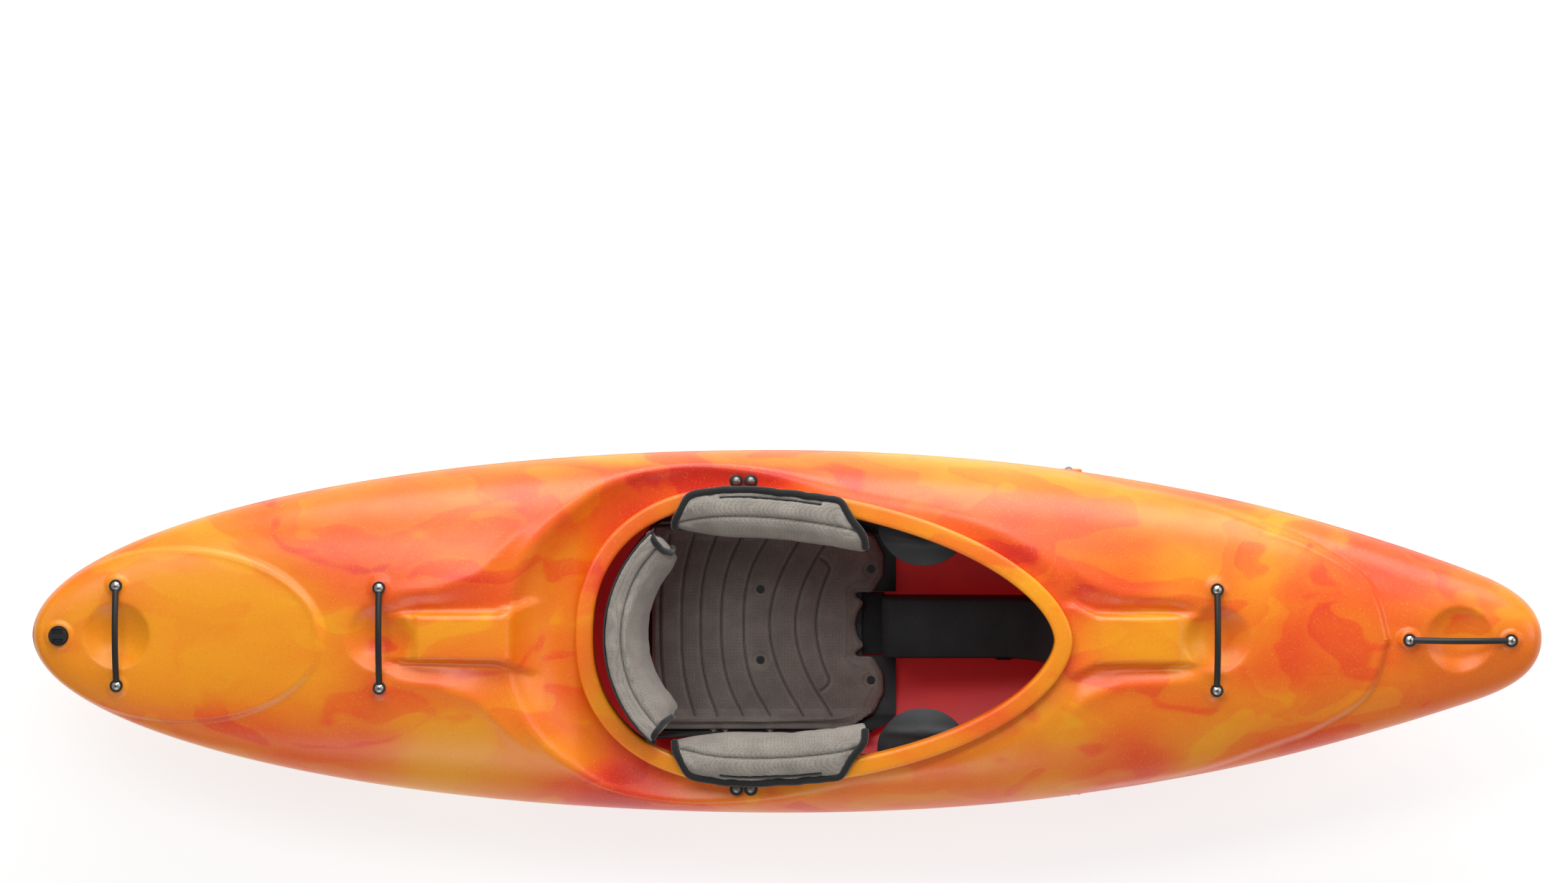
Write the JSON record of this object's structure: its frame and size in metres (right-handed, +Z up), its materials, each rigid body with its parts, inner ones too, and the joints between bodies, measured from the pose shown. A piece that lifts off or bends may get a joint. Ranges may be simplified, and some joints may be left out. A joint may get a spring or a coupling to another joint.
{
  "type": "kayak",
  "caption": "Whitewater kayak: moulded hull and deck, cockpit with rim, sliding seat, backband, hip pads, thigh braces, foot brace, grab loops and a threaded drain plug.",
  "frame": {"origin": "centre of the overall box in plan, at the height of the lowest point of the hull", "axes": "+X to the bow, +Y to port, +Z up"},
  "size_m": [2.62, 0.634, 0.383],
  "materials": {
    "shell": "mottled yellow, orange and red moulded polyethylene",
    "black_plastic": "moulded black plastic, satin",
    "dark_plastic": "moulded dark grey plastic",
    "grip_rubber": "satin black rubber over webbing",
    "steel": "stainless steel",
    "rail_aluminium": "mill finish",
    "gasket_rubber": "soft rubber",
    "seat_fabric": "stitched grey fabric over foam",
    "mesh_fabric": "grey spacer mesh with black piping",
    "foam": "black closed-cell foam",
    "cord": "braided cord"
  },
  "bodies": {
    "shell": {"hull_shell": "shell", "deck_shell": "shell", "cockpit_rim": "shell", "stern_grab_loop": "grip_rubber", "rear_deck_grab_loop": "grip_rubber", "front_deck_grab_loop": "grip_rubber", "bow_grab_loop": "grip_rubber", "grab_loop_screws": "steel", "grab_loop_washers": "steel", "grab_loop_nuts": "steel", "drain_bushing": "black_plastic", "seat_hanger_port": "dark_plastic", "seat_hanger_starboard": "dark_plastic", "seat_hanger_screws": "steel", "seat_hanger_nuts": "steel", "hip_pad_port": "mesh_fabric", "hip_pad_starboard": "mesh_fabric", "backband_pins": "steel", "thigh_brace_rods": "steel", "thigh_brace_posts": "black_plastic", "bow_foam_wall": "foam", "stern_foam_wall": "foam", "bow_wall_cord": "cord", "foot_brace_spacers": "black_plastic", "foot_brace_bolts": "steel", "foot_brace_nuts": "steel"},
    "seat": {"seat_pan": "dark_plastic", "seat_pad": "seat_fabric", "seat_pad_buttons": "black_plastic", "seat_slide_bolts": "steel", "seat_slide_knobs": "black_plastic"},
    "backband": {"backband_plate": "black_plastic", "backband_pad": "mesh_fabric"},
    "thigh_brace_port": {"thigh_brace_port": "dark_plastic"},
    "thigh_brace_starboard": {"thigh_brace_starboard": "dark_plastic"},
    "foot_brace": {"foot_brace_plate": "dark_plastic", "foot_brace_pad": "foam", "foot_brace_rail_port": "rail_aluminium", "foot_brace_rail_starboard": "rail_aluminium", "foot_brace_screws": "steel"},
    "drain_gasket": {"drain_gasket": "gasket_rubber"},
    "drain_plug": {"drain_plug": "black_plastic"}
  },
  "joints": [
    {"name": "seat_slide", "type": "slide", "parent": "shell", "child": "seat", "axis": [1, 0, 0], "range_m": [-0.025, 0.025]},
    {"name": "backband_tilt", "type": "hinge", "parent": "shell", "child": "backband", "pos_m": [-0.125, 0, 0.112], "axis": [0, 1, 0], "range_deg": [-4, 10]},
    {"name": "thigh_brace_port_slide", "type": "slide", "parent": "shell", "child": "thigh_brace_port", "axis": [0.9926, 0, 0.1212], "range_m": [-0.015, 0.015]},
    {"name": "thigh_brace_starboard_slide", "type": "slide", "parent": "shell", "child": "thigh_brace_starboard", "axis": [0.9926, 0, 0.1212], "range_m": [-0.015, 0.015]},
    {"name": "foot_brace_slide", "type": "slide", "parent": "shell", "child": "foot_brace", "axis": [1, 0, 0], "range_m": [-0.05, 0.05]},
    {"name": "drain_lift", "type": "slide", "parent": "shell", "child": "drain_gasket", "axis": [0, 0, 1], "range_m": [0, 0.015]},
    {"name": "drain_turn", "type": "hinge", "parent": "drain_gasket", "child": "drain_plug", "pos_m": [-1.262, 0, 0.26783], "axis": [0, 0, 1], "range_deg": [0, 1800]}
  ],
  "couplings": [
    {"joint": "drain_turn", "follows": "drain_lift", "rad_per_m": 2094.4}
  ]
}
